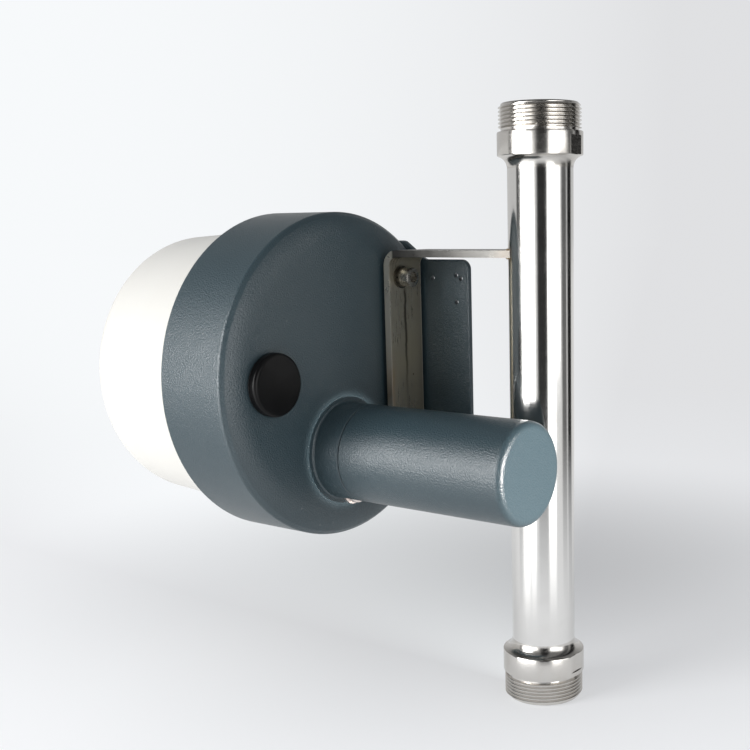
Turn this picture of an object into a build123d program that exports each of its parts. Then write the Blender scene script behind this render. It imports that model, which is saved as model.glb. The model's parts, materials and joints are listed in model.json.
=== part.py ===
from build123d import *
import math
import os

# Metal tube variable area flow meter, in millimetres.
# Z is the axis of the measuring tube and the direction of flow, with z = 0 at the inlet end.
# +Y points from the dial towards the back of the meter, so the dial faces -Y.

# Measuring tube and its two threaded fittings
overall_length = 250.0
tube_radius = 13.5
thread_radius = 16.9
thread_length = 11.2
thread_lead = 1.4
collar_radius = 17.5
collar_length = 9.6
collar_edge = 0.5
cone_length = 4.8
across_flats = 34.0
flat_shoulder = 2.0
port_radius = 10.5
port_lead = 1.0

# Taper bore, guides and float
metering_radius = 8.75
taper_end_radius = 11.0
taper_lead = 2.0
guide_seat_radius = 11.6
guide_seat_depth = 8.0
guide_wall = 1.2
guide_hub_radius = 4.0
guide_floor = 2.0
spoke_width = 2.0
rod_radius = 2.0
stop_radius = 3.4
float_lift = 80.0
float_clearance = 0.35
float_head_length = 7.0
float_land = 1.0
float_neck_length = 4.0
float_tip_radius = 4.0
float_body_radius = 6.8
float_wall = 0.8
head_to_magnet = 24.0
magnet_length = 20.0
float_cap_thickness = 2.5

# Indicator housing
housing_x = 33.5
housing_z = 138.5
housing_radius = 70.0
tube_to_back = 78.0
drum_depth = 38.0
housing_wall = 4.0
back_bevel = 1.7
back_round = 1.2
back_crown = 2.3
back_crown_width = 10.0

# Lug cast on the side of the housing
lug_gap = 2.0
lug_thickness = 2.5
lug_reach = 30.8
lug_drop = 21.5
lug_corner = 4.5
lug_shoulder_drop = 13.0
lug_shoulder_depth = 18.0
lug_edge_round = 0.6
tag_hole_radius = 1.1
tag_hole_pitch = 12.0
tag_hole_back = 7.0
tag_hole_drop = 7.0
tag_hole_out = 2.6
tag_hole_in = 13.4

# Battery compartment behind the housing
battery_offset = 3.0
battery_inset = 37.7
boss_height = 13.8
boss_root_round = 0.8
seam_edge = 0.4
cap_radius = 21.0
cap_length = 82.7
cap_end_round = 3.0
cap_end_wall = 3.5
cap_bore_radius = 17.4
spigot_radius = 19.0
spigot_length = 10.0
battery_radius = 16.6
battery_length = 61.5
contact_board_thickness = 1.6
battery_well_radius = 17.0
wire_passage_radius = 9.0
seal_section = 1.2
spring_metal = 0.8
spring_foot = 3.2
spring_tip_radius = 5.0

# Cable entry plug and earth screw
plug_inset = 24.3
plug_offset_z = 1.5
plug_radius = 13.0
plug_head = 3.7
plug_seal_thickness = 0.8
plug_round = 1.6
entry_radius = 10.0
plug_nut_flats = 26.0
plug_nut_height = 5.0
earth_offset = 2.6
earth_head_radius = 5.6
earth_head_height = 4.0
earth_dome = 1.6
earth_washer_radius = 6.4
earth_notch_gap = 0.8
earth_rise = 2.9

# Bracket between tube and housing
strap_width = 22.0
strap_thickness = 3.0
strap_bend = 7.0
bracket_inset = 16.8
bracket_pad = 2.0
bracket_pad_radius = 5.0
bracket_screw_x = 3.0
bracket_screw_drop = 12.0
screw_head_radius = 4.25
screw_head_height = 5.0
screw_shank_radius = 2.4
screw_grip = 8.0
socket_radius = 2.3
socket_depth = 2.6
washer_radius = 5.0
washer_thickness = 1.0
spring_washer_radius = 4.4
spring_washer_thickness = 1.3

# Front cover and window
cover_flange_step = 2.2
cover_flange_width = 5.0
cover_taper = 2.8
cover_length = 64.0
cover_corner = 14.0
cover_wall = 3.0
cover_flange_thickness = 2.5
cover_spigot_length = 9.0
cover_spigot_wall = 3.5
cover_seal_thickness = 0.8
window_margin = 10.0
window_overlap = 8.0
window_lip = 2.5
window_thickness = 4.0
window_gasket_thickness = 0.8
window_ring_flange = 2.0
window_ring_width = 6.0
window_ring_land = 5.5
window_ledge = 10.0
ring_screw_margin = 3.0

# Movement, board and dial
pillar_radius = 4.5
pillar_margin = 10.0
base_plate_gap = 20.0
base_plate_margin = 5.5
base_plate_thickness = 2.5
bridge_gap = 17.5
bridge_thickness = 2.0
bridge_span = 40.0
bridge_height = 14.0
bridge_pillar_radius = 3.0
bearing_radius = 4.0
bearing_flange_radius = 5.5
bearing_flange = 1.0
shaft_radius = 1.5
board_gap = 26.0
board_margin = 6.0
board_thickness = 1.6
board_hole_radius = 7.0
board_part_share = 0.2
board_part_height = 9.0
standoff_margin = 6.0
standoff_radius = 3.5
stud_radius = 1.45
stud_length = 6.0
dial_gap = 16.0
dial_margin = 5.0
dial_thickness = 1.5
dial_hole_radius = 4.5
display_width = 36.0
display_height = 16.0
display_depth = 9.0
display_rim = 3.0
display_rim_thickness = 1.5
display_proud = 0.8
display_drop = 25.0
pointer_length = 40.0
pointer_tail = 14.0
pointer_width = 3.4
pointer_thickness = 1.0
pointer_hub_radius = 4.0
pointer_hub_length = 4.0
pointer_clearance = 1.0
pointer_sweep = 90.0
carrier_width = 26.0
carrier_height = 9.0
carrier_thickness = 3.0
follower_magnet_depth = 6.0
small_screw_radius = 1.5
small_head_radius = 2.8
small_head_height = 2.0

# Clearances
running_gap = 0.05
thread_gap = 0.1
seat_gap = 0.05
body_gap = 0.3

# Places worked out from the sizes above
fitting_length = thread_length + collar_length + cone_length
tube_top = overall_length - fitting_length
back_y = -tube_to_back
bore_radius = housing_radius - housing_wall
lug_face_x = -strap_width / 2 - lug_gap
lug_half_height = housing_radius - lug_drop
lug_shoulder_height = housing_radius - lug_shoulder_drop
bracket_half_height = housing_radius - bracket_inset
battery_x = housing_x + battery_offset
battery_drop = housing_radius - battery_inset
plug_offset_x = housing_radius - plug_inset
cover_flange_radius = housing_radius - cover_flange_step
cover_root_radius = cover_flange_radius - cover_flange_width
cover_tip_radius = cover_root_radius - cover_taper
window_radius = cover_tip_radius - window_margin
window_opening = window_radius - window_overlap
window_ring_inner = window_radius - window_ring_width
window_ring_outer = window_radius + window_ring_land
ring_screw_circle = window_radius + ring_screw_margin
pillar_circle = bore_radius - pillar_margin
base_plate_radius = bore_radius - base_plate_margin
board_radius = cover_root_radius - cover_wall - board_margin
dial_radius = cover_tip_radius - cover_wall - dial_margin
standoff_spread = (board_radius - standoff_margin) * math.sqrt(0.5)
inner_back_y = back_y - housing_wall
front_y = back_y - drum_depth
leg_inner_y = back_y + bracket_pad
leg_outer_y = leg_inner_y + strap_thickness
battery_z = housing_z - battery_drop
earth_screw_x = battery_x - earth_offset
earth_screw_z = battery_z - cap_radius + earth_rise
earth_notch_radius = earth_washer_radius + earth_notch_gap
seam_y = back_y + boss_height
cap_start_y = seam_y + body_gap
cap_end_y = cap_start_y + cap_length
plug_x = housing_x + plug_offset_x
plug_z = housing_z + plug_offset_z
base_y = inner_back_y - base_plate_gap
base_front_y = base_y - base_plate_thickness
bridge_y = base_front_y - bridge_gap
board_y = base_front_y - board_gap
board_front_y = board_y - board_thickness
flange_back_y = front_y - cover_seal_thickness - body_gap
flange_front_y = flange_back_y - cover_flange_thickness
cover_front_y = front_y - cover_length
window_seat_y = cover_front_y + window_lip
glass_front_y = window_seat_y + window_gasket_thickness
glass_back_y = glass_front_y + window_thickness
ledge_y = cover_front_y + window_ledge
dial_y = ledge_y - window_ledge + dial_gap + window_thickness
dial_front_y = dial_y - dial_thickness
magnet_rest_z = housing_z - float_lift / 2
float_edge_z = magnet_rest_z - head_to_magnet
float_tip_z = float_edge_z - float_head_length
float_top_z = magnet_rest_z + magnet_length / 2 + float_cap_thickness
float_head_radius = metering_radius - float_clearance
bracket_screw_offset = bracket_half_height - bracket_screw_drop
bracket_screw_heights = (housing_z - bracket_screw_offset, housing_z + bracket_screw_offset)
washer_stack = washer_thickness + spring_washer_thickness
screw_hole_radius = screw_shank_radius + thread_gap
small_hole_radius = small_screw_radius + thread_gap
spigot_bore_radius = spigot_radius + body_gap


def along_y(shape, x, z):
    """Turns a shape made along its own Z so that it runs along +Y, on the line through x and z."""
    return Pos(x, 0, z) * Rot(-90, 0, 0) * shape


def on_housing(shape):
    """A shape made along its own Z, set on the axis of the housing."""
    return along_y(shape, housing_x, housing_z)


def on_battery(shape):
    """A shape made along its own Z, set on the axis of the battery compartment."""
    return along_y(shape, battery_x, battery_z)


def rod(radius, start, end):
    """A cylinder along Z from start to end."""
    return Pos(0, 0, start) * Cylinder(radius, end - start, align=(Align.CENTER, Align.CENTER, Align.MIN))


def ring(outer, inner, start, end):
    """A tube along Z from start to end."""
    return rod(outer, start, end) - rod(inner, start - 1, end + 1)


def block(x0, x1, y0, y1, z0, z1):
    """A box between two corners."""
    return Pos(x0, y0, z0) * Box(x1 - x0, y1 - y0, z1 - z0, align=(Align.MIN, Align.MIN, Align.MIN))


def turned(points):
    """A solid turned about Z from (radius, height) points."""
    outline = Polyline(*[(r, 0, h) for r, h in points], close=True)
    return revolve(make_face(outline), Axis.Z)


def hexagon(flats, start, end):
    """A hexagonal bar along Z, given across its flats."""
    return Pos(0, 0, start) * extrude(RegularPolygon(flats / 2, 6, major_radius=False), end - start)


def save(name, shape):
    export_step(shape, os.path.join("parts", name + ".step"))


def group(solids):
    """Several separate solids of one node."""
    return Compound(children=list(solids))


def corners(spread):
    """The four places of a square pattern."""
    return [(sx * spread, sz * spread) for sx in (-1, 1) for sz in (-1, 1)]


def fitting():
    """End fitting, its threaded end at z = 0: thread, collar with two flats, hollow cone to the tube."""
    collar_end = thread_length + collar_length
    straight = Polyline(
        (tube_radius, 0, fitting_length),
        (port_radius, 0, fitting_length),
        (port_radius, 0, port_lead),
        (port_radius + port_lead, 0, 0),
        (thread_radius - thread_lead, 0, 0),
        (thread_radius, 0, thread_lead),
        (thread_radius, 0, thread_length),
        (collar_radius - collar_edge, 0, thread_length),
        (collar_radius, 0, thread_length + collar_edge),
        (collar_radius, 0, collar_end - collar_edge),
        (collar_radius - collar_edge, 0, collar_end),
    )
    hollow = TangentArc(
        (tube_radius, 0, fitting_length),
        (collar_radius - collar_edge, 0, collar_end),
        tangent=(0, 0, -1),
    )
    body = revolve(make_face(straight.edges() + hollow.edges()), Axis.Z)
    reach = 2 * collar_radius
    start = thread_length + flat_shoulder
    beside_flat = block(-reach, reach, across_flats / 2, reach, start, fitting_length)
    return body - beside_flat - mirror(beside_flat, Plane.XZ)


def make_fittings():
    save("inlet_fitting", fitting())
    save("outlet_fitting", Pos(0, 0, overall_length) * Rot(180, 0, 0) * fitting())


def make_tube():
    """Tube with a bore that widens upwards over the float's travel, and a seat for a guide at each end."""
    taper_start = float_edge_z - taper_lead
    taper_end = float_edge_z + float_lift + 3 * taper_lead
    save("measuring_tube", turned([
        (guide_seat_radius, fitting_length),
        (tube_radius, fitting_length),
        (tube_radius, tube_top),
        (guide_seat_radius, tube_top),
        (guide_seat_radius, tube_top - guide_seat_depth),
        (taper_end_radius, tube_top - guide_seat_depth),
        (taper_end_radius, taper_end),
        (metering_radius, taper_start),
        (metering_radius, fitting_length + guide_seat_depth),
        (guide_seat_radius, fitting_length + guide_seat_depth),
    ]))


def guide():
    """Three-spoked guide that stands on z = 0, with a blind hole from above for the rod."""
    outer = guide_seat_radius - seat_gap
    body = ring(outer, outer - guide_wall, 0, guide_seat_depth)
    spoke = block(0, outer - guide_wall / 2, -spoke_width / 2, spoke_width / 2, 0, guide_seat_depth)
    for turn in range(3):
        body += Rot(0, 0, 120 * turn) * spoke
    body += rod(guide_hub_radius, 0, guide_seat_depth)
    return body - rod(rod_radius + running_gap, guide_floor, guide_seat_depth + 1)


def make_guides():
    save("lower_guide", Pos(0, 0, fitting_length) * guide())
    save("upper_guide", Pos(0, 0, tube_top) * Rot(180, 0, 0) * guide())
    save("guide_rod", rod(rod_radius, fitting_length + guide_floor, tube_top - guide_floor))
    bore = rod_radius + running_gap
    lower_end = float_tip_z - body_gap
    upper_start = float_top_z + float_lift + body_gap
    save("lower_stop", ring(stop_radius, bore, fitting_length + guide_seat_depth, lower_end))
    save("upper_stop", ring(stop_radius, bore, upper_start, tube_top - guide_seat_depth))


def make_float():
    """Float that slides on the rod: conical metering head, sealed body, ring magnet and end cap."""
    bore = rod_radius + running_gap
    chamber_inner = bore + float_wall
    chamber_outer = float_body_radius - float_wall
    chamber_start = magnet_rest_z - magnet_length / 2
    cap_start = magnet_rest_z + magnet_length / 2
    neck_start = float_edge_z + float_land
    body = turned([
        (bore, float_tip_z),
        (float_tip_radius, float_tip_z),
        (float_head_radius, float_edge_z),
        (float_head_radius, neck_start),
        (float_body_radius, neck_start + float_neck_length),
        (float_body_radius, cap_start),
        (bore, cap_start),
    ])
    body -= ring(chamber_outer, chamber_inner, chamber_start, cap_start + 1)
    save("float_body", body)
    magnet = ring(chamber_outer - running_gap, chamber_inner + running_gap, chamber_start, cap_start)
    save("float_magnet", magnet)
    save("float_cap", ring(float_body_radius, bore, cap_start, float_top_z))


def make_bracket():
    """U-shaped strap: two arms welded to the tube and a leg screwed to the back of the housing."""
    low = housing_z - bracket_half_height
    high = housing_z + bracket_half_height
    outer = Pos(0, leg_inner_y / 2, housing_z) * Box(strap_width, -leg_inner_y, 2 * bracket_half_height)
    inner_half = bracket_half_height - strap_thickness
    inner = Pos(0, leg_outer_y / 2 + 1, housing_z) * Box(strap_width + 2, 2 - leg_outer_y, 2 * inner_half)
    outer = fillet(outer.edges().filter_by(Axis.X).group_by(Axis.Y)[0], strap_bend)
    inner = fillet(inner.edges().filter_by(Axis.X).group_by(Axis.Y)[0], strap_bend - strap_thickness)
    strap = outer - inner - rod(tube_radius + seat_gap, low - 5, high + 5)
    hole = rod(screw_hole_radius, leg_inner_y - 1, leg_outer_y + 1)
    for z in bracket_screw_heights:
        strap -= along_y(hole, bracket_screw_x, z)
    save("mounting_bracket", max(strap.solids(), key=lambda part: part.volume))


def socket_screw():
    """Socket head cap screw along Z with the seat of its head at z = 0."""
    head = rod(screw_head_radius, 0, screw_head_height)
    head = chamfer(head.edges().group_by(Axis.Z)[-1], 0.4)
    shank = rod(screw_shank_radius, -screw_grip - bracket_pad - strap_thickness - washer_stack, 0)
    socket = hexagon(2 * socket_radius, screw_head_height - socket_depth, screw_head_height + 1)
    return head + shank - socket


def at_bracket_screws(shape, y):
    """Copies of a shape along Z, set at height y on the two bracket screw lines."""
    return group([along_y(Pos(0, 0, y) * shape, bracket_screw_x, z) for z in bracket_screw_heights])


def make_bracket_screws():
    washer = ring(washer_radius, screw_hole_radius, 0, washer_thickness)
    split = block(0, washer_radius * 2, -0.3, 0.3, -1, spring_washer_thickness + 1)
    spring_washer = ring(spring_washer_radius, screw_hole_radius, 0, spring_washer_thickness) - split
    save("bracket_washers", at_bracket_screws(washer, leg_outer_y))
    save("bracket_spring_washers", at_bracket_screws(spring_washer, leg_outer_y + washer_thickness))
    save("bracket_screws", at_bracket_screws(socket_screw(), leg_outer_y + washer_stack))


def drum():
    """Outside of the round housing: straight side, rounded bevel, back that curves in to a flat middle."""
    shoulder_y = back_y - back_crown
    shoulder_radius = housing_radius - back_bevel
    flat_radius = shoulder_radius - back_crown_width
    side = Polyline(
        (flat_radius, 0, back_y),
        (0, 0, back_y),
        (0, 0, front_y),
        (housing_radius, 0, front_y),
        (housing_radius, 0, shoulder_y - back_bevel),
        (shoulder_radius, 0, shoulder_y),
    )
    crown = TangentArc((flat_radius, 0, back_y), (shoulder_radius, 0, shoulder_y), tangent=(1, 0, 0))
    shell = revolve(make_face(side.edges() + crown.edges()), Axis.Z)
    low = shoulder_y - back_bevel - 0.01
    high = shoulder_y + 0.01
    rims = [
        edge for edge in shell.edges().filter_by(GeomType.CIRCLE)
        if low < edge.center().Z < high and edge.radius > flat_radius + 1
    ]
    return on_housing(fillet(rims, back_round))


def lug():
    """Flat lug on the far side of the housing, with a shoulder where it joins the drum."""
    tip_y = back_y + lug_reach
    slope = lug_shoulder_height - lug_half_height
    upper = [
        (back_y - lug_shoulder_depth, 0),
        (back_y - lug_shoulder_depth, lug_shoulder_height),
        (back_y - lug_shoulder_depth / 3, lug_shoulder_height),
        (back_y - lug_shoulder_depth / 3 + 1.4 * slope, lug_half_height),
        (tip_y, lug_half_height),
        (tip_y, 0),
    ]
    half = extrude(make_face(Plane.YZ * Polyline(*upper, close=True)), lug_thickness, dir=(1, 0, 0))
    along_x = half.edges().filter_by(Axis.X)
    tips = along_x.filter_by(lambda edge: edge.center().Z > 1)
    whole = fillet(tips, lug_corner)
    whole += mirror(whole, Plane.XY)
    outer_y = back_y + back_crown
    rims = [
        edge for edge in whole.edges()
        if edge.center().Y > outer_y and abs(edge.center().X - lug_thickness / 2) > 0.49 * lug_thickness
    ]
    whole = fillet(rims, lug_edge_round)
    return Pos(lug_face_x - lug_thickness, 0, housing_z) * whole


def tag_holes():
    """Places of the small holes near the tip of the lug, as (y, z)."""
    top = housing_z + lug_half_height - tag_hole_drop
    column = back_y + lug_reach - tag_hole_back
    low = top - tag_hole_drop / 5
    column_heights = (top, top - tag_hole_pitch)
    return [(column, z) for z in column_heights] + [(column + tag_hole_out, low), (column - tag_hole_in, low)]


def pillar_places():
    spread = pillar_circle * math.sqrt(0.5)
    return [(housing_x + dx, housing_z + dz) for dx, dz in corners(spread)]


def seal_ring(outer):
    """Ring of the cap seal's section round the spigot, also the groove's shape with a larger outside."""
    return ring(outer, spigot_radius - seal_section, seam_y + seal_section, seam_y + 2.5 * seal_section)


def make_rear_housing():
    """Cast rear housing: drum, lug, battery boss with its spigot, bracket pads and pillars inside."""
    body = drum() + lug()
    body -= on_housing(rod(bore_radius, front_y - 1, inner_back_y))
    boss = rod(cap_radius, inner_back_y, seam_y)
    boss = chamfer(boss.edges().group_by(Axis.Z)[-1], seam_edge)
    body += on_battery(boss)
    root = [
        edge for edge in body.edges().filter_by(GeomType.CIRCLE)
        if abs(edge.radius - cap_radius) < 1e-3 and abs(edge.center().Y - back_y) < 1e-3
    ]
    body = fillet(root, boss_root_round)
    spigot_end = seam_y + spigot_length
    body += on_battery(rod(spigot_radius, seam_y - 1, spigot_end))
    body -= on_battery(seal_ring(spigot_radius + 1))
    body -= on_battery(rod(wire_passage_radius, inner_back_y - 1, seam_y))
    body -= on_battery(rod(battery_well_radius, seam_y - contact_board_thickness, spigot_end + 1))
    pad = rod(bracket_pad_radius, inner_back_y - screw_grip, leg_inner_y)
    pad_hole = rod(screw_hole_radius, leg_inner_y - bracket_pad - screw_grip, leg_inner_y + 1)
    for z in bracket_screw_heights:
        body += along_y(pad, bracket_screw_x, z)
        body -= along_y(pad_hole, bracket_screw_x, z)
    for x, z in pillar_places():
        body += along_y(rod(pillar_radius, base_y, inner_back_y + 1), x, z)
        body -= along_y(rod(small_hole_radius, base_y - 1, base_y + stud_length), x, z)
    body -= along_y(rod(entry_radius, inner_back_y - 1, back_y + 1), plug_x, plug_z)
    notch_end = back_y + washer_thickness + earth_head_height + earth_notch_gap
    body -= along_y(rod(earth_notch_radius, back_y, notch_end), earth_screw_x, earth_screw_z)
    earth_hole = rod(screw_hole_radius, back_y - 0.75 * housing_wall, back_y + 1)
    body -= along_y(earth_hole, earth_screw_x, earth_screw_z)
    tag_hole = Rot(0, 90, 0) * rod(tag_hole_radius, 0, lug_thickness + 2)
    for y, z in tag_holes():
        body -= Pos(lug_face_x - lug_thickness - 1, y, z) * tag_hole
    save("rear_housing", max(body.solids(), key=lambda part: part.volume))


def make_cable_plug():
    """Blanking plug in the cable entry: domed head, shank, sealing ring and the nut inside."""
    seat = back_y + plug_seal_thickness
    head = rod(plug_radius, seat, seat + plug_head)
    head = fillet(head.edges().group_by(Axis.Z)[-1], plug_round)
    shank_end = inner_back_y - plug_nut_height
    plug = head + rod(entry_radius - thread_gap, shank_end, seat)
    save("cable_plug", along_y(plug, plug_x, plug_z))
    save("plug_seal", along_y(ring(plug_radius - 0.5, entry_radius, back_y, seat), plug_x, plug_z))
    nut = hexagon(plug_nut_flats, shank_end, inner_back_y)
    nut -= rod(entry_radius, shank_end - 1, inner_back_y + 1)
    save("plug_nut", along_y(nut, plug_x, plug_z))


def make_earth_screw():
    """Earthing screw with a rounded head in the notch under the battery boss, and its washer."""
    seat = back_y + washer_thickness
    washer = ring(earth_washer_radius, screw_hole_radius, back_y, seat)
    head = rod(earth_head_radius, seat, seat + earth_head_height)
    head = fillet(head.edges().group_by(Axis.Z)[-1], earth_dome)
    screw = head + rod(screw_shank_radius, back_y - 0.7 * housing_wall, seat)
    save("earth_screw", along_y(screw, earth_screw_x, earth_screw_z))
    save("earth_washer", along_y(washer, earth_screw_x, earth_screw_z))


def make_battery():
    """Battery compartment: contact board, cell, sealing ring, screw cap and the spring disc in its end."""
    board_end = seam_y
    board_start = seam_y - contact_board_thickness
    cell_end = board_end + battery_length
    cap_inner_end = cap_end_y - cap_end_wall
    board = rod(battery_well_radius - seat_gap, board_start, board_end)
    save("contact_board", on_battery(board))
    save("battery_cell", on_battery(rod(battery_radius, board_end, cell_end)))
    save("cap_seal", on_battery(seal_ring(spigot_radius + thread_gap)))
    cap = rod(cap_radius, cap_start_y, cap_end_y)
    cap = fillet(cap.edges().group_by(Axis.Z)[-1], cap_end_round)
    cap = chamfer(cap.edges().group_by(Axis.Z)[0], seam_edge)
    cap -= rod(spigot_bore_radius, cap_start_y - 1, seam_y + spigot_length + body_gap)
    cap -= rod(cap_bore_radius, cap_start_y, cap_inner_end)
    save("battery_cap", on_battery(cap))
    rim = cap_bore_radius - 2 * body_gap
    tip = cell_end + body_gap
    spring = turned([
        (rim - spring_foot + spring_metal / 4, cap_inner_end - spring_metal),
        (rim, cap_inner_end - spring_metal),
        (rim, cap_inner_end),
        (rim - spring_foot, cap_inner_end),
        (spring_tip_radius, tip + spring_metal),
        (0, tip + spring_metal),
        (0, tip),
        (spring_tip_radius + spring_metal / 4, tip),
    ])
    save("cap_spring", on_battery(spring))


def make_front_cover():
    """Tapered front cover: flange and spigot towards the drum, rounded front, seat for the window."""
    spigot_outer = bore_radius - body_gap
    spigot_inner = spigot_outer - cover_spigot_wall
    spigot_end = flange_back_y + cover_spigot_length
    corner_y = cover_front_y + cover_corner
    corner_r = cover_tip_radius - cover_corner
    mid = math.sqrt(0.5) * cover_corner
    pocket = window_radius + 2 * running_gap
    corner = ThreePointArc(
        (corner_r, 0, cover_front_y),
        (corner_r + mid, 0, corner_y - mid),
        (cover_tip_radius, 0, corner_y),
    )
    rest = Polyline(
        (cover_tip_radius, 0, corner_y),
        (cover_root_radius, 0, flange_front_y),
        (cover_flange_radius, 0, flange_front_y),
        (cover_flange_radius, 0, flange_back_y),
        (spigot_outer, 0, flange_back_y),
        (spigot_outer, 0, spigot_end),
        (spigot_inner, 0, spigot_end),
        (cover_root_radius - cover_wall, 0, flange_back_y),
        (cover_tip_radius - cover_wall, 0, ledge_y),
        (pocket, 0, ledge_y),
        (pocket, 0, window_seat_y),
        (window_opening, 0, window_seat_y),
        (window_opening, 0, cover_front_y),
        (corner_r, 0, cover_front_y),
    )
    cover = revolve(make_face(corner.edges() + rest.edges()), Axis.Z)
    hole = rod(small_hole_radius, ledge_y - stud_length * 0.7, ledge_y + 1)
    for dx, dz in corners(ring_screw_circle * math.sqrt(0.5)):
        cover -= Pos(dx, dz, 0) * hole
    save("front_cover", on_housing(cover))
    seal = ring(cover_flange_radius, bore_radius + running_gap, front_y - cover_seal_thickness, front_y)
    save("cover_seal", on_housing(seal))


def make_window():
    """Window glass on its gasket, held by a ring with four screws."""
    gasket = ring(window_radius, window_opening + 1, window_seat_y, glass_front_y)
    save("window_gasket", on_housing(gasket))
    save("window_glass", on_housing(rod(window_radius, glass_front_y, glass_back_y)))
    holder = turned([
        (window_ring_inner, glass_back_y),
        (window_radius, glass_back_y),
        (window_radius, ledge_y),
        (window_ring_outer, ledge_y),
        (window_ring_outer, ledge_y + window_ring_flange),
        (window_ring_inner, ledge_y + window_ring_flange),
    ])
    screws = []
    head_seat = ledge_y + window_ring_flange
    for dx, dz in corners(ring_screw_circle * math.sqrt(0.5)):
        holder -= Pos(dx, dz, 0) * rod(small_hole_radius, ledge_y - 1, head_seat + 1)
        screw = rod(small_screw_radius, ledge_y - stud_length * 0.6, head_seat)
        screw += rod(small_head_radius * 0.8, head_seat, head_seat + small_head_height)
        screws.append(on_housing(Pos(dx, dz, 0) * screw))
    save("window_ring", on_housing(holder))
    save("window_ring_screws", group(screws))


def small_screws(places, seat, reach):
    """Small pan head screws with heads in front of seat and shanks that reach back towards +Y."""
    solids = []
    for x, z in places:
        screw = rod(small_head_radius, seat - small_head_height, seat)
        screw += rod(small_screw_radius, seat, seat + reach)
        solids.append(along_y(screw, x, z))
    return group(solids)


def flanged_bearing(bore, flange_at_high_end, start, end):
    """Plain bearing for the pointer shaft, with its flange outside the plate that holds it."""
    body = rod(bearing_radius, start, end)
    if flange_at_high_end:
        body += rod(bearing_flange_radius, end, end + bearing_flange)
    else:
        body += rod(bearing_flange_radius, start - bearing_flange, start)
    return on_housing(body - rod(bore, start - 5, end + 5))


def make_movement_frame():
    """Base plate on the housing's pillars, bridge in front of it, two bearings of the pointer shaft."""
    plate_hole = bearing_radius + seat_gap
    plate = rod(base_plate_radius, base_front_y, base_y) - rod(plate_hole, base_front_y - 1, base_y + 1)
    for dx, dz in corners(pillar_circle * math.sqrt(0.5)):
        plate -= Pos(dx, dz, 0) * rod(small_hole_radius, base_front_y - 1, base_y + 1)
    save("base_plate", on_housing(plate))
    reach = base_plate_thickness + stud_length * 0.8
    save("base_plate_screws", small_screws(pillar_places(), base_front_y, reach))
    half = bridge_span / 2
    bridge_front = bridge_y - bridge_thickness
    bar = extrude(SlotCenterToCenter(bridge_span, bridge_height), bridge_thickness)
    bar = Pos(0, 0, bridge_front) * bar - rod(plate_hole, bridge_front - 1, bridge_y + 1)
    pillar = rod(bridge_pillar_radius, bridge_y, base_front_y)
    pillar -= rod(small_hole_radius, bridge_y - 1, bridge_y + stud_length)
    pillars = []
    places = []
    for side in (-1, 1):
        bar -= Pos(side * half, 0, 0) * rod(small_hole_radius, bridge_front - 1, bridge_y + 1)
        pillars.append(on_housing(Pos(side * half, 0, 0) * pillar))
        places.append((housing_x + side * half, housing_z))
    save("bridge_plate", on_housing(bar))
    save("bridge_pillars", group(pillars))
    save("bridge_screws", small_screws(places, bridge_front, bridge_thickness + stud_length * 0.8))
    bore = shaft_radius + running_gap
    save("rear_bearing", flanged_bearing(bore, True, base_front_y, base_y))
    save("front_bearing", flanged_bearing(bore, False, bridge_front, bridge_y))


def make_board():
    """Circuit board on hexagonal standoffs, with its larger parts."""
    places = corners(standoff_spread)
    rear = []
    front = []
    stud_hole = rod(stud_radius + thread_gap, board_front_y - 1, board_y + stud_length)
    low = hexagon(2 * standoff_radius, board_y, base_front_y) - stud_hole
    high = hexagon(2 * standoff_radius, dial_y, board_front_y)
    high += rod(stud_radius, board_front_y, board_y + 0.8 * stud_length)
    high -= rod(small_hole_radius, dial_y - 1, dial_y + stud_length)
    board = rod(board_radius, board_front_y, board_y)
    board -= rod(board_hole_radius, board_front_y - 1, board_y + 1)
    for dx, dz in places:
        board -= Pos(dx, dz, 0) * stud_hole
        rear.append(on_housing(Pos(dx, dz, 0) * low))
        front.append(on_housing(Pos(dx, dz, 0) * high))
    save("circuit_board", on_housing(board))
    save("rear_standoffs", group(rear))
    save("front_standoffs", group(front))
    side = board_radius * board_part_share
    heights = [board_part_height, board_part_height / 2, board_part_height / 3, board_part_height / 2]
    parts = []
    for height, (dx, dz) in zip(heights, corners(0.38 * board_radius)):
        part = Pos(dx, dz, board_front_y - height / 2) * Box(1.4 * side, side, height)
        parts.append(on_housing(part))
    save("board_parts", group(parts))


def display_block(margin, y0, y1):
    """A block with the display's outline, wider by a margin all round."""
    half_w = display_width / 2 + margin
    half_h = display_height / 2 + margin
    z = housing_z - display_drop
    return block(housing_x - half_w, housing_x + half_w, y0, y1, z - half_h, z + half_h)


def make_dial():
    """Dial plate with the display set into it, and its four screws."""
    dial = rod(dial_radius, dial_front_y, dial_y) - rod(dial_hole_radius, dial_front_y - 1, dial_y + 1)
    dial = on_housing(dial) - display_block(running_gap, dial_front_y - 1, dial_y + 1)
    places = [(housing_x + dx, housing_z + dz) for dx, dz in corners(standoff_spread)]
    for x, z in places:
        dial -= along_y(rod(small_hole_radius, dial_front_y - 1, dial_y + 1), x, z)
    save("dial_plate", dial)
    save("dial_screws", small_screws(places, dial_front_y, dial_thickness + 0.8 * stud_length))
    front = dial_front_y - display_proud
    body = display_block(0, front, front + display_depth)
    body += display_block(display_rim, dial_y, dial_y + display_rim_thickness)
    save("display_module", body)


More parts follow.
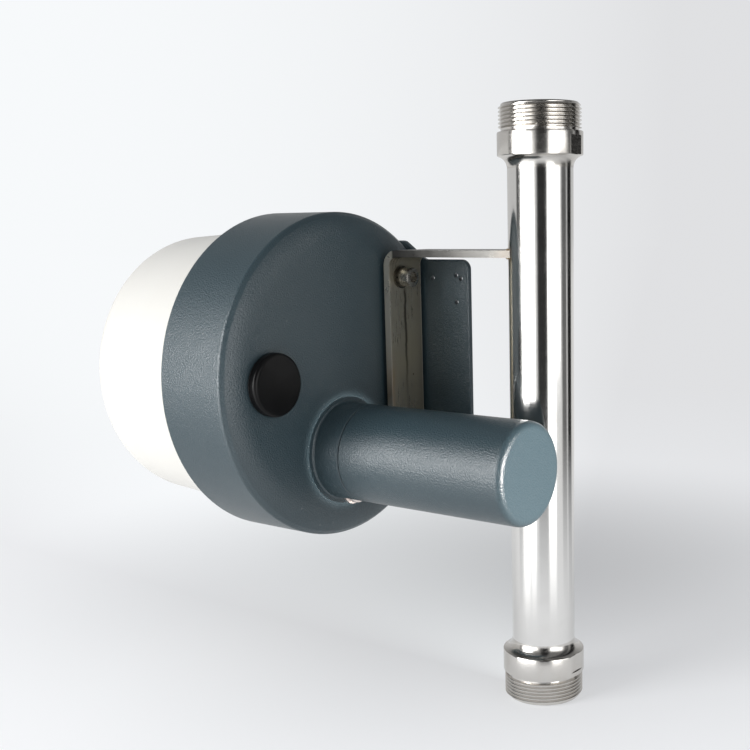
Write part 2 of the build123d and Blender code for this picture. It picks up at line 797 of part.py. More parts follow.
def make_pointer():
    """Pointer, its shaft and the magnet that follows the float, turning together; drawn at zero flow."""
    hub_back = dial_front_y - pointer_clearance
    hub_front = hub_back - pointer_hub_length
    magnet_back = base_y + bearing_flange + body_gap
    carrier_back = magnet_back + carrier_thickness
    save("pointer_shaft", on_housing(rod(shaft_radius, hub_front + 0.5, carrier_back)))
    blade = Polyline(
        (-pointer_width / 2, -pointer_tail, 0),
        (pointer_width / 2, -pointer_tail, 0),
        (pointer_width / 2, 0, 0),
        (0.3, pointer_length, 0),
        (-0.3, pointer_length, 0),
        (-pointer_width / 2, 0, 0),
        close=True,
    )
    needle = extrude(make_face(blade), pointer_thickness, dir=(0, 0, 1))
    needle = Pos(0, 0, hub_back - 2.5) * needle
    needle += rod(pointer_hub_radius, hub_front, hub_back)
    needle -= rod(shaft_radius + 0.03, hub_front + 0.5, hub_back + 1)
    turn = Rot(0, 0, 180 - pointer_sweep / 2)
    save("pointer", on_housing(turn * needle))
    carrier = Box(carrier_width, carrier_height, carrier_thickness)
    carrier = Pos(0, 0, (magnet_back + carrier_back) / 2) * carrier
    carrier -= rod(shaft_radius + 0.03, magnet_back - 1, carrier_back + 1)
    save("magnet_carrier", on_housing(turn * carrier))
    magnet = Box(carrier_width, carrier_height, follower_magnet_depth)
    magnet = fillet(magnet.edges().filter_by(Axis.Z), 1.0)
    magnet = Pos(0, 0, carrier_back + follower_magnet_depth / 2) * magnet
    save("follower_magnet", on_housing(turn * magnet))


os.makedirs("parts", exist_ok=True)
make_fittings()
make_tube()
make_guides()
make_float()
make_bracket()
make_bracket_screws()
make_rear_housing()
make_cable_plug()
make_earth_screw()
make_battery()
make_front_cover()
make_window()
make_movement_frame()
make_board()
make_dial()
make_pointer()
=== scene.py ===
import json
import math

import bmesh
import bpy
from mathutils import Matrix, Quaternion, Vector


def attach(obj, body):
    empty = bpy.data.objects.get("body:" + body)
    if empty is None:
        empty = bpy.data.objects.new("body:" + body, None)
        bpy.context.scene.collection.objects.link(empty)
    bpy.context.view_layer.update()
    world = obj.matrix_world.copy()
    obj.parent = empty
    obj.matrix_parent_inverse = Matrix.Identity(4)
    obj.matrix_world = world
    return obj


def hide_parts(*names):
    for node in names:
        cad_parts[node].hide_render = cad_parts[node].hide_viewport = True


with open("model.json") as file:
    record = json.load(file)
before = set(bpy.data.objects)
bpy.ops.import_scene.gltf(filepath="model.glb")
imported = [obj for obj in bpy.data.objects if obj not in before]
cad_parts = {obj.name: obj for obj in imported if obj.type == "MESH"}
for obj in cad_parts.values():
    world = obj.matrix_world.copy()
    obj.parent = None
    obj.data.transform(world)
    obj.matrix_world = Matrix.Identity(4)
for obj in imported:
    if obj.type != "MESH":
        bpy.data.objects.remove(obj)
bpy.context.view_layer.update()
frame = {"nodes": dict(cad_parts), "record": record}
MM = 0.001

# Places and sizes that the pieces here share with the solids, in millimetres
OVERALL = 250.0
TUBE_R = 13.5
PORT_R = 10.5
THREAD_R = 16.9
THREAD_ROOT_R = 15.95
THREAD_LENGTH = 11.2
THREAD_PITCH = 1.5
THREAD_LEAD = 1.4
UNDERCUT_LENGTH = 0.9
UNDERCUT_R = THREAD_ROOT_R - 0.1
COLLAR_R = 17.5
COLLAR_EDGE = 0.5
COLLAR_END = 20.8
FITTING_END = 25.6
FLAT_HALF = 17.0
FLAT_SHOULDER = 13.2
HOUSING_X = 33.5
HOUSING_Z = 138.5
DIAL_Y = -161.5
ARM_TOP = 191.7
ARM_BOTTOM = 85.3
STRAP_THICKNESS = 3.0
LEG_Y = -73.0

# Dial print, in millimetres and degrees
SCALE_START = -45.0
SCALE_SWEEP = 90.0
SCALE_R = 38.2
TICK_INNER_R = 35.6
MEDIUM_TICK_INNER_R = 34.6
MAJOR_TICK_INNER_R = 33.0
ARC_R = 38.5
ARC_PIECES = 100
NUMERAL_R = 28.0
NUMERAL_SIZE = 6.2
PRINT_THICKNESS = 0.08

# Weld beads, in millimetres, and how far they reach round the tube to each side
BEAD_R = 0.9
BEAD_RING_R = TUBE_R + 0.2
BEAD_SINK = 0.3
BEAD_REACH = math.radians(48)

# Floor and background, with lengths in metres; SHADOW_MIDDLE is the brightness in the middle of the shadow
WINDOW_AZIMUTH = math.radians(238.0)
LIGHT_BACKGROUND = (0.93, 0.95, 0.965)
DIM_BACKGROUND = (0.745, 0.75, 0.765)
FLOOR_R = 9.0
FLOOR_DROP = 0.0004
FLOOR_COLOR = (0.42, 0.425, 0.43)
FLOOR_LIFT = 0.70
FLOOR_BOUNCE = 1.22
SHADOW_PLACE = (-0.15, -0.14, 0.0)
SHADOW_REACH = 0.34
SHADOW_MIDDLE = 0.61

# What bare metal mirrors: azimuth and half width in degrees, then a panel's brightness or a gap's darkness
STUDIO_PANELS = ((70.0, 13.0, 2.6), (-26.0, 15.0, 3.6), (2.0, 9.0, 3.0))
STUDIO_GAPS = ((37.5, 17.0, 0.96), (122.0, 11.0, 0.8), (151.0, 12.0, 0.98), (-50.0, 8.0, 0.9))

# The narrow lamp's target on the battery cap's end and the radius that it lights, in metres
CAP_END = (0.0365, 0.019, 0.1062)
CAP_SPOT_R = 0.023

# Scale of a metal's drawn lines or grain along X, Y and Z; the larger, the finer
TURNED_LINES = (160.0, 160.0, 2600.0)
FINE_GRAIN = (250.0, 250.0, 250.0)
PLATED_GRAIN = (300.0, 300.0, 300.0)
CAST_GRAIN = (700.0, 700.0, 700.0)
ROUGH_GRAIN = (900.0, 900.0, 900.0)


def add_piece(name, bm, body, material, smooth=True):
    """Makes a piece from a bmesh in millimetres and gives it its body, slot and material."""
    bmesh.ops.scale(bm, vec=(MM, MM, MM), verts=bm.verts)
    mesh = bpy.data.meshes.new(name)
    bm.to_mesh(mesh)
    bm.free()
    if smooth:
        mesh.shade_smooth()
        mesh.set_sharp_from_angle(angle=math.radians(35))
    mesh.materials.append(material)
    piece = bpy.data.objects.new(name, mesh)
    bpy.context.scene.collection.objects.link(piece)
    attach(piece, body)
    return piece


class Nodes:
    """Short calls for building the nodes of one material, group or world."""

    def __init__(self, tree):
        self.tree = tree

    def add(self, kind, **values):
        node = self.tree.nodes.new(kind)
        for key, value in values.items():
            setattr(node, key, value)
        return node

    def join(self, source, target):
        self.tree.links.new(source, target)

    def feed(self, value, target):
        """Sets a socket to a number, or joins another socket to it."""
        if isinstance(value, (int, float)):
            target.default_value = value
        else:
            self.join(value, target)

    def math(self, operation, first, second=None):
        node = self.add("ShaderNodeMath", operation=operation)
        self.feed(first, node.inputs[0])
        if second is not None:
            self.feed(second, node.inputs[1])
        return node.outputs[0]

    def times(self, first, *others):
        """The product of two or more values."""
        product = first
        for value in others:
            product = self.math("MULTIPLY", product, value)
        return product

    def plus(self, first, second):
        return self.math("ADD", first, second)

    def away(self, value, middle):
        """Distance of a value from a middle."""
        return self.math("ABSOLUTE", self.math("SUBTRACT", value, middle))

    def vector_math(self, operation, vector, other=None):
        node = self.add("ShaderNodeVectorMath", operation=operation)
        self.join(vector, node.inputs[0])
        if other is not None:
            node.inputs[1].default_value = other
        return node.outputs

    def noise(self, vector, scale, detail=2.0, rough=0.5, distortion=0.0):
        node = self.add("ShaderNodeTexNoise")
        self.feed(scale, node.inputs["Scale"])
        node.inputs["Detail"].default_value = detail
        node.inputs["Roughness"].default_value = rough
        node.inputs["Distortion"].default_value = distortion
        self.join(vector, node.inputs["Vector"])
        return node.outputs["Fac"]

    def stretch(self, vector, scale):
        node = self.add("ShaderNodeMapping")
        node.inputs["Scale"].default_value = scale
        self.join(vector, node.inputs["Vector"])
        return node.outputs[0]

    def span(self, value, low, high, to_low=0.0, to_high=1.0, curve="LINEAR"):
        """Maps low..high to to_low..to_high, held at both ends."""
        node = self.add("ShaderNodeMapRange", clamp=True, interpolation_type=curve)
        for key, number in (("From Min", low), ("From Max", high), ("To Min", to_low), ("To Max", to_high)):
            node.inputs[key].default_value = number
        self.join(value, node.inputs["Value"])
        return node.outputs[0]

    def blend(self, amount, first, second):
        """Mixes two colours, each a colour or a socket, by an amount."""
        node = self.add("ShaderNodeMix", data_type="RGBA")
        self.feed(amount, node.inputs[0])
        for index, value in ((6, first), (7, second)):
            if isinstance(value, tuple):
                node.inputs[index].default_value = (*value, 1.0)
            else:
                self.join(value, node.inputs[index])
        return node.outputs[2]

    def bump(self, height, strength, distance):
        node = self.add("ShaderNodeBump")
        node.inputs["Strength"].default_value = strength
        node.inputs["Distance"].default_value = distance
        self.join(height, node.inputs["Height"])
        return node.outputs["Normal"]

    def place(self):
        """Object coordinates."""
        return self.add("ShaderNodeTexCoord").outputs["Object"]

    def split(self, vector):
        node = self.add("ShaderNodeSeparateXYZ")
        self.join(vector, node.inputs[0])
        return node.outputs

    def glow(self, kind, strength=None, color=None):
        """An emission or background shader."""
        node = self.add(kind)
        if strength is not None:
            self.feed(strength, node.inputs["Strength"])
        if color is not None:
            self.join(color, node.inputs["Color"])
        return node.outputs[0]

    def mix_shaders(self, amount, first, second):
        node = self.add("ShaderNodeMixShader")
        self.join(amount, node.inputs[0])
        self.join(first, node.inputs[1])
        self.join(second, node.inputs[2])
        return node.outputs[0]

    def light_path(self):
        return self.add("ShaderNodeLightPath").outputs


def new_group(name, inputs, outputs):
    """Starts a node group and returns its helper with its input and output nodes."""
    tree = bpy.data.node_groups.new(name, "ShaderNodeTree")
    for label, kind, value in inputs:
        socket = tree.interface.new_socket(label, in_out="INPUT", socket_type=kind)
        if value is not None:
            socket.default_value = value
    for label, kind in outputs:
        tree.interface.new_socket(label, in_out="OUTPUT", socket_type=kind)
    nodes = Nodes(tree)
    return nodes, nodes.add("NodeGroupInput"), nodes.add("NodeGroupOutput")


def use_group(nodes, group, **values):
    """Places a group in a material; underscores in the names stand for spaces."""
    node = nodes.add("ShaderNodeGroup")
    node.node_tree = group
    for key, value in values.items():
        nodes.feed(value, node.inputs[key.replace("_", " ")])
    return node.outputs


def make_coat_group():
    """Sprayed coating: fine orange peel, a slow mottle, and sparse specks of dust."""
    nodes, given, out = new_group(
        "sprayed_coat",
        [
            ("Vector", "NodeSocketVector", None),
            ("Peel Scale", "NodeSocketFloat", 900.0),
            ("Wave", "NodeSocketFloat", 0.5),
            ("Speck Size", "NodeSocketFloat", 0.12),
        ],
        [("Height", "NodeSocketFloat"), ("Mottle", "NodeSocketFloat"), ("Specks", "NodeSocketFloat")],
    )
    vector = given.outputs["Vector"]
    peel = nodes.noise(vector, given.outputs["Peel Scale"], 3.0)
    slow = nodes.noise(vector, 90.0, 2.0)
    height = nodes.plus(nodes.times(peel, 0.8), nodes.times(slow, given.outputs["Wave"]))
    nodes.join(height, out.inputs["Height"])
    nodes.join(nodes.noise(vector, 24.0, 4.0, 0.6), out.inputs["Mottle"])
    cells = nodes.add("ShaderNodeTexVoronoi")
    cells.inputs["Scale"].default_value = 260.0
    nodes.join(vector, cells.inputs["Vector"])
    near = nodes.math("LESS_THAN", cells.outputs["Distance"], given.outputs["Speck Size"])
    chance = nodes.math("GREATER_THAN", nodes.split(cells.outputs["Color"])["X"], 0.93)
    nodes.join(nodes.times(near, chance), out.inputs["Specks"])
    return nodes.tree


def make_brush_group():
    """Ground or drawn metal: lines from a stretched vector, with cloudy handling marks."""
    nodes, given, out = new_group(
        "drawn_lines",
        [("Lines Vector", "NodeSocketVector", None), ("Cloud Vector", "NodeSocketVector", None)],
        [("Lines", "NodeSocketFloat"), ("Clouds", "NodeSocketFloat")],
    )
    nodes.join(nodes.noise(given.outputs["Lines Vector"], 1.0, 4.0, 0.7), out.inputs["Lines"])
    nodes.join(nodes.noise(given.outputs["Cloud Vector"], 30.0, 4.0, 0.65, 0.4), out.inputs["Clouds"])
    return nodes.tree


COAT = make_coat_group()
BRUSH = make_brush_group()


def new_material(name, color, metallic=0.0, roughness=0.5, **sockets):
    """Starts a material and returns it with its node helper and its shader."""
    material = bpy.data.materials.new(name)
    material.use_nodes = True
    nodes = Nodes(material.node_tree)
    shader = material.node_tree.nodes["Principled BSDF"]
    shader.inputs["Base Color"].default_value = (*color, 1.0)
    shader.inputs["Metallic"].default_value = metallic
    shader.inputs["Roughness"].default_value = roughness
    for key, value in sockets.items():
        shader.inputs[key.replace("_", " ")].default_value = value
    return material, nodes, shader


def coated(name, color, shade, roughness, peel_scale, peel_height, coat_weight=0.0,
           speck=(0.5, 0.5, 0.5), speck_amount=0.0, wave=0.5):
    """A painted or powder coated finish."""
    material, nodes, shader = new_material(name, color, 0.0, roughness, Coat_Weight=coat_weight,
                                           Coat_Roughness=0.12, Specular_IOR_Level=0.65)
    marks = use_group(nodes, COAT, Vector=nodes.place(), Peel_Scale=peel_scale, Wave=wave)
    tint = nodes.blend(nodes.span(marks["Mottle"], 0.3, 0.7), color, shade)
    tint = nodes.blend(nodes.times(marks["Specks"], speck_amount), tint, speck)
    nodes.join(tint, shader.inputs["Base Color"])
    rough = nodes.span(marks["Mottle"], 0.2, 0.8, roughness * 0.85, roughness * 1.2)
    nodes.join(rough, shader.inputs["Roughness"])
    nodes.join(nodes.bump(marks["Height"], 0.6, peel_height), shader.inputs["Normal"])
    return material


def metal(name, color, roughness, grain, dark=(0.35, 0.34, 0.32), clouds=0.15, bump=0.00002):
    """A bare metal with drawn lines and cloudy marks in a darker colour."""
    material, nodes, shader = new_material(name, color, 1.0, roughness)
    place = nodes.place()
    marks = use_group(nodes, BRUSH, Lines_Vector=nodes.stretch(place, grain), Cloud_Vector=place)
    tint = nodes.blend(nodes.times(nodes.span(marks["Clouds"], 0.45, 0.75), clouds), color, dark)
    nodes.join(tint, shader.inputs["Base Color"])
    lined = nodes.span(marks["Lines"], 0.3, 0.7, roughness * 0.7, roughness * 1.35)
    smeared = nodes.span(marks["Clouds"], 0.4, 0.8, 0.0, roughness * 0.5)
    nodes.join(nodes.plus(lined, smeared), shader.inputs["Roughness"])
    nodes.join(nodes.bump(marks["Lines"], 0.35, bump), shader.inputs["Normal"])
    return material


def heat_band(nodes, place, clouds, arm_middle):
    """Where the weld's heat has stained the tube behind one arm."""
    axes = nodes.split(place)
    away = nodes.away(axes["Z"], arm_middle * MM)
    ragged = nodes.plus(away, nodes.times(nodes.math("SUBTRACT", clouds, 0.5), 0.006))
    at_arm = nodes.span(ragged, 0.0015, 0.0055, 1.0, 0.0)
    facing_arm = nodes.span(axes["Y"], -0.011, -0.004, 1.0, 0.0)
    return nodes.times(at_arm, facing_arm, 0.75)


def make_tube_steel():
    """Polished tube: fine lines round it, heat stains at the bracket's welds, small yellowish marks."""
    steel = (0.80, 0.79, 0.77)
    material, nodes, shader = new_material("tube_steel", steel, 1.0, 0.13)
    place = nodes.place()
    marks = use_group(nodes, BRUSH, Lines_Vector=nodes.stretch(place, TURNED_LINES), Cloud_Vector=place)
    clouds = marks["Clouds"]
    tint = nodes.blend(nodes.times(nodes.span(clouds, 0.5, 0.8), 0.18), steel, (0.52, 0.50, 0.46))
    for arm_middle in (ARM_TOP - STRAP_THICKNESS / 2, ARM_BOTTOM + STRAP_THICKNESS / 2):
        tint = nodes.blend(heat_band(nodes, place, clouds, arm_middle), tint, (0.30, 0.19, 0.09))
    smudge = nodes.noise(nodes.stretch(place, (60.0, 60.0, 40.0)), 1.0, 3.0)
    tint = nodes.blend(nodes.span(smudge, 0.70, 0.78, 0.0, 0.5), tint, (0.55, 0.43, 0.25))
    nodes.join(tint, shader.inputs["Base Color"])
    rough = nodes.plus(nodes.span(marks["Lines"], 0.3, 0.7, 0.09, 0.15),
                       nodes.span(clouds, 0.45, 0.8, 0.0, 0.10))
    nodes.join(rough, shader.inputs["Roughness"])
    nodes.join(nodes.bump(marks["Lines"], 0.25, 0.00001), shader.inputs["Normal"])
    return material


def drip_line(nodes, place):
    """A thin wandering stain down the bracket's leg from under the upper screw."""
    axes = nodes.split(place)
    wave = nodes.noise(nodes.stretch(place, (0.0, 0.0, 70.0)), 1.0, 3.0)
    wander = nodes.times(nodes.math("SUBTRACT", wave, 0.5), 0.004)
    aside = nodes.math("ABSOLUTE", nodes.plus(nodes.math("SUBTRACT", axes["X"], 0.0004), wander))
    line = nodes.span(aside, 0.0003, 0.0011, 1.0, 0.0)
    fade = nodes.span(axes["Z"], 0.128, 0.150, 0.3, 1.0)
    start = nodes.span(axes["Z"], 0.173, 0.176, 1.0, 0.0)
    return nodes.times(line, fade, start)


def leg_finish(nodes, place, clouds, tint):
    """Dark arms, and on the leg a pale haze, the drip line, specks, pale edges that are partly wear and
    partly a painted highlight, and a rusty lower corner.
    """
    across, depth, height = nodes.split(place)
    on_leg = nodes.span(depth, (LEG_Y + 1.5) * MM, (LEG_Y + 2.5) * MM, 1.0, 0.0)
    tint = nodes.blend(on_leg, (0.085, 0.083, 0.078), tint)
    haze = nodes.times(on_leg, nodes.span(clouds, 0.3, 0.6, 0.25, 0.6))
    tint = nodes.blend(haze, tint, (0.42, 0.38, 0.27))
    drip = nodes.times(drip_line(nodes, place), on_leg, 0.85)
    tint = nodes.blend(drip, tint, (0.03, 0.025, 0.015))
    specks = use_group(nodes, COAT, Vector=place, Speck_Size=0.11)["Specks"]
    tint = nodes.blend(nodes.times(specks, on_leg, 0.8), tint, (0.05, 0.03, 0.012))
    # Pale line along both long edges of the leg: partly wear, partly a painted highlight where the edges
    # catch the light.
    edge_wear_and_highlight = nodes.span(nodes.math("ABSOLUTE", across), 0.0101, 0.0107)
    tint = nodes.blend(nodes.times(edge_wear_and_highlight, on_leg, 0.6), tint, (0.75, 0.72, 0.64))
    edge = nodes.times(nodes.span(across, 0.0070, 0.0105), nodes.span(height, 0.105, 0.150, 1.0, 0.0))
    rust = nodes.times(edge, nodes.span(clouds, 0.40, 0.60), on_leg)
    return nodes.blend(rust, tint, (0.36, 0.20, 0.08))


def make_bracket_steel():
    """Bracket strap: lines along the strap, stains on its leg and a darker tint at the weld ends."""
    steel = (0.37, 0.355, 0.315)
    material, nodes, shader = new_material("bracket_steel", steel, 0.8, 0.22)
    place = nodes.place()
    lines = nodes.stretch(place, (2600.0, 90.0, 90.0))
    marks = use_group(nodes, BRUSH, Lines_Vector=lines, Cloud_Vector=place)
    clouds = marks["Clouds"]
    tint = nodes.blend(nodes.times(nodes.span(clouds, 0.4, 0.75), 0.35), steel, (0.26, 0.24, 0.17))
    tint = leg_finish(nodes, place, clouds, tint)
    at_weld = nodes.span(nodes.split(place)["Y"], -0.019, -0.010)
    weld = nodes.times(at_weld, nodes.span(clouds, 0.30, 0.55))
    tint = nodes.blend(nodes.times(weld, 0.5), tint, (0.15, 0.125, 0.10))
    nodes.join(tint, shader.inputs["Base Color"])
    rough = nodes.plus(nodes.span(marks["Lines"], 0.3, 0.7, 0.24, 0.36),
                       nodes.span(clouds, 0.45, 0.8, 0.0, 0.15))
    nodes.join(rough, shader.inputs["Roughness"])
    nodes.join(nodes.bump(marks["Lines"], 0.3, 0.00002), shader.inputs["Normal"])
    return material


def make_moulded(name, color, roughness, grain=1400.0, height=0.00003, shine=0.5):
    """Moulded plastic or rubber with a fine grain."""
    material, nodes, shader = new_material(name, color, 0.0, roughness, Specular_IOR_Level=shine)
    place = nodes.place()
    slow = nodes.noise(place, 60.0, 3.0)
    paler = tuple(part * 1.7 + 0.004 for part in color)
    nodes.join(nodes.blend(nodes.span(slow, 0.35, 0.7), color, paler), shader.inputs["Base Color"])
    nodes.join(nodes.span(slow, 0.3, 0.7, roughness * 0.85, roughness * 1.15), shader.inputs["Roughness"])
    nodes.join(nodes.bump(nodes.noise(place, grain, 2.0), 0.5, height), shader.inputs["Normal"])
    return material


def make_glass():
    """Clear window glass with faint smears."""
    material, nodes, shader = new_material("window_glass", (0.96, 0.98, 0.97), 0.0, 0.02, IOR=1.5,
                                           Transmission_Weight=1.0)
    smears = nodes.noise(nodes.place(), 35.0, 4.0, 0.6)
    nodes.join(nodes.span(smears, 0.5, 0.8, 0.015, 0.06), shader.inputs["Roughness"])
    return material


def make_board():
    """Circuit board with copper tracks under green mask."""
    material, nodes, shader = new_material("board_green", (0.02, 0.13, 0.05), 0.0, 0.35)
    cells = nodes.add("ShaderNodeTexVoronoi", feature="DISTANCE_TO_EDGE", distance="CHEBYCHEV")
    cells.inputs["Scale"].default_value = 420.0
    cells.inputs["Randomness"].default_value = 0.55
    nodes.join(nodes.place(), cells.inputs["Vector"])
    tracks = nodes.math("LESS_THAN", cells.outputs["Distance"], 0.05)
    tint = nodes.blend(tracks, (0.013, 0.095, 0.040), (0.022, 0.135, 0.055))
    nodes.join(tint, shader.inputs["Base Color"])
    nodes.join(nodes.bump(tracks, 0.4, 0.00004), shader.inputs["Normal"])
    return material


def make_slate_coating():
    """Textured powder coat of the housing, its lug and the battery cap."""
    return coated("slate_coating", (0.030, 0.050, 0.060), (0.024, 0.043, 0.053), 0.31, 1500.0, 0.0005,
                  speck=(0.20, 0.22, 0.23), speck_amount=0.25, wave=0.15)


def make_cream_paint():
    """Smooth gloss paint of the front cover."""
    return coated("cream_paint", (0.64, 0.63, 0.60), (0.615, 0.605, 0.57), 0.34, 620.0, 0.00005,
                  coat_weight=0.2, speck=(0.45, 0.42, 0.36), speck_amount=0.25)


FINISHES = {
    "stainless": metal("turned_steel", (0.78, 0.77, 0.74), 0.16, TURNED_LINES),
    "slate_coating": make_slate_coating(),
    "cream_paint": make_cream_paint(),
    "black_plastic": make_moulded("black_plastic", (0.0010, 0.0010, 0.0012), 0.32, shine=0.14),
    "rubber": make_moulded("rubber", (0.022, 0.022, 0.022), 0.6, 900.0),
    "plated_steel": metal("plated_steel", (0.66, 0.65, 0.62), 0.30, PLATED_GRAIN, (0.56, 0.54, 0.50),
                          bump=0.000003),
    "brass": metal("brass", (0.78, 0.58, 0.27), 0.25, CAST_GRAIN, (0.45, 0.30, 0.13), 0.3),
    "bronze": metal("bronze", (0.62, 0.42, 0.24), 0.32, CAST_GRAIN, (0.35, 0.2, 0.1), 0.3),
    "green_board": make_board(),
    "cell_sleeve": coated("cell_sleeve", (0.05, 0.10, 0.22), (0.045, 0.09, 0.20), 0.3, 300.0, 0.00002),
    "dial_white": coated("dial_white", (0.85, 0.85, 0.83), (0.83, 0.83, 0.80), 0.45, 1200.0, 0.00002),
    "pointer_red": coated("pointer_red", (0.55, 0.03, 0.02), (0.50, 0.025, 0.02), 0.4, 1200.0, 0.00002),
    "magnet": metal("magnet", (0.16, 0.16, 0.17), 0.45, ROUGH_GRAIN, (0.08, 0.08, 0.08), 0.5),
    "glass": make_glass(),
}
FITTING_STEEL = metal("fitting_steel", (0.66, 0.64, 0.61), 0.17, TURNED_LINES, (0.40, 0.35, 0.27), 0.35)
WASHER_STEEL = metal("washer_steel", (0.13, 0.12, 0.10), 0.30, FINE_GRAIN, (0.08, 0.065, 0.04), 0.5, 0.000004)
EARTH_BRASS = metal("tinned_brass", (0.92, 0.84, 0.80), 0.38, FINE_GRAIN, (0.80, 0.72, 0.68), 0.4, 0.000002)
WELD = metal("weld_bead", (0.42, 0.34, 0.24), 0.42, ROUGH_GRAIN, (0.22, 0.12, 0.05), 0.8, 0.0001)
PRINT_BLACK = make_moulded("print_black", (0.012, 0.012, 0.013), 0.5)
OWN_FINISHES = {
    "measuring_tube": make_tube_steel(),
    "mounting_bracket": make_bracket_steel(),
    "bracket_screws": metal("fastener_steel", (0.40, 0.385, 0.35), 0.24, FINE_GRAIN, (0.25, 0.22, 0.16), 0.25,
                            0.000002),
    "bracket_washers": WASHER_STEEL,
    "bracket_spring_washers": WASHER_STEEL,
    "earth_screw": EARTH_BRASS,
    "earth_washer": EARTH_BRASS,
}


def dress_solids():
    """Gives each solid its own finish, or else that of its material slot."""
    slot_of = {part["node"]: part["material_slot"] for part in frame["record"]["subparts"]}
    for node, piece in frame["nodes"].items():
        piece.data.materials.clear()
        piece.data.materials.append(OWN_FINISHES.get(node, FINISHES[slot_of[node]]))


def spin_outline(bm, points, steps):
    """Spins an open (radius, height) outline a full turn about Z."""
    verts = [bm.verts.new((radius, 0, height)) for radius, height in points]
    edges = [bm.edges.new(pair) for pair in zip(verts, verts[1:])]
    bmesh.ops.spin(bm, geom=verts + edges, cent=(0, 0, 0), axis=(0, 0, 1), dvec=(0, 0, 0),
                   angle=2 * math.pi, steps=steps, use_merge=True, use_normal_flip=False)


def cut_level(bm, height, clear_above=False, clear_below=False):
    """Cuts every face at a height, and clears what lies above or below."""
    bmesh.ops.bisect_plane(bm, geom=bm.verts[:] + bm.edges[:] + bm.faces[:], plane_co=(0, 0, height),
                           plane_no=(0, 0, 1), clear_outer=clear_above, clear_inner=clear_below)


def add_thread(bm):
    """Helical thread from z = 0 up to the collar, cut to its end chamfer and its undercut."""
    steps = 72
    turns = int(THREAD_LENGTH / THREAD_PITCH) + 3
    flat = 0.12 * THREAD_PITCH
    profile = [
        (THREAD_ROOT_R, 0.0), (THREAD_ROOT_R, flat),
        (THREAD_R, THREAD_PITCH / 2 - flat / 2), (THREAD_R, THREAD_PITCH / 2 + flat / 2),
        (THREAD_ROOT_R, THREAD_PITCH),
    ]
    verts = [bm.verts.new((radius, 0, height - 1.5 * THREAD_PITCH)) for radius, height in profile]
    edges = [bm.edges.new(pair) for pair in zip(verts, verts[1:])]
    bmesh.ops.spin(bm, geom=verts + edges, cent=(0, 0, 0), axis=(0, 0, 1), dvec=(0, 0, THREAD_PITCH / steps),
                   angle=2 * math.pi * turns, steps=steps * turns, use_merge=False, use_normal_flip=False)
    bmesh.ops.remove_doubles(bm, verts=bm.verts, dist=0.01)
    undercut_start = THREAD_LENGTH - UNDERCUT_LENGTH
    cut_level(bm, 0.0, clear_below=True)
    cut_level(bm, THREAD_LENGTH, clear_above=True)
    cut_level(bm, undercut_start)
    for vert in bm.verts:
        radius = math.hypot(vert.co.x, vert.co.y)
        allowed = THREAD_R - max(0.0, THREAD_LEAD - vert.co.z)
        if vert.co.z > undercut_start - 0.01:
            allowed = min(allowed, UNDERCUT_R)
        if radius > allowed:
            vert.co.x *= allowed / radius
            vert.co.y *= allowed / radius
    bmesh.ops.remove_doubles(bm, verts=bm.verts, dist=0.01)


def hollow_cone(outer, steps=10):
    """Hollow curve from the collar's edge up to the tube, tangent to the tube."""
    across = outer - TUBE_R
    rise = FITTING_END - COLLAR_END
    radius = (across ** 2 + rise ** 2) / (2 * across)
    last = math.asin(rise / radius)
    points = []
    for step in range(steps + 1):
        angle = last * (steps - step) / steps
        points.append((TUBE_R + radius * (1 - math.cos(angle)), FITTING_END - radius * math.sin(angle)))
    return points


def collar_outline():
    """Everything of a fitting but the outside of its thread, from the thread's end round to its bore."""
    corner = 0.13
    return [
        (UNDERCUT_R, THREAD_LENGTH), (COLLAR_R - COLLAR_EDGE, THREAD_LENGTH),
        (COLLAR_R - corner, THREAD_LENGTH + corner), (COLLAR_R, THREAD_LENGTH + COLLAR_EDGE),
        (COLLAR_R, FLAT_SHOULDER), (COLLAR_R, FLAT_SHOULDER + 0.02),
        (COLLAR_R, COLLAR_END - COLLAR_EDGE), (COLLAR_R - corner, COLLAR_END - corner),
        *hollow_cone(COLLAR_R - COLLAR_EDGE), (PORT_R, FITTING_END),
        (PORT_R, 1.0), (PORT_R + 0.25, 0.35), (PORT_R + 1.0, 0.0), (THREAD_R - THREAD_LEAD, 0.0),
    ]


def make_fitting(name, node, top):
    """An end fitting with its real thread, in place of the solid with a plain thread blank."""
    bm = bmesh.new()
    add_thread(bm)
    spin_outline(bm, collar_outline(), 144)
    for vert in bm.verts:
        if vert.co.z > FLAT_SHOULDER + 0.01 and abs(vert.co.y) > FLAT_HALF:
            vert.co.y = math.copysign(FLAT_HALF, vert.co.y)
    bmesh.ops.remove_doubles(bm, verts=bm.verts, dist=0.004)
    bmesh.ops.recalc_face_normals(bm, faces=bm.faces)
    if top:
        bmesh.ops.rotate(bm, verts=bm.verts, cent=(0, 0, 0), matrix=Matrix.Rotation(math.pi, 3, "X"))
        bmesh.ops.translate(bm, verts=bm.verts, vec=(0, 0, OVERALL))
    piece = add_piece(name, bm, "root", FITTING_STEEL)
    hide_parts(node)


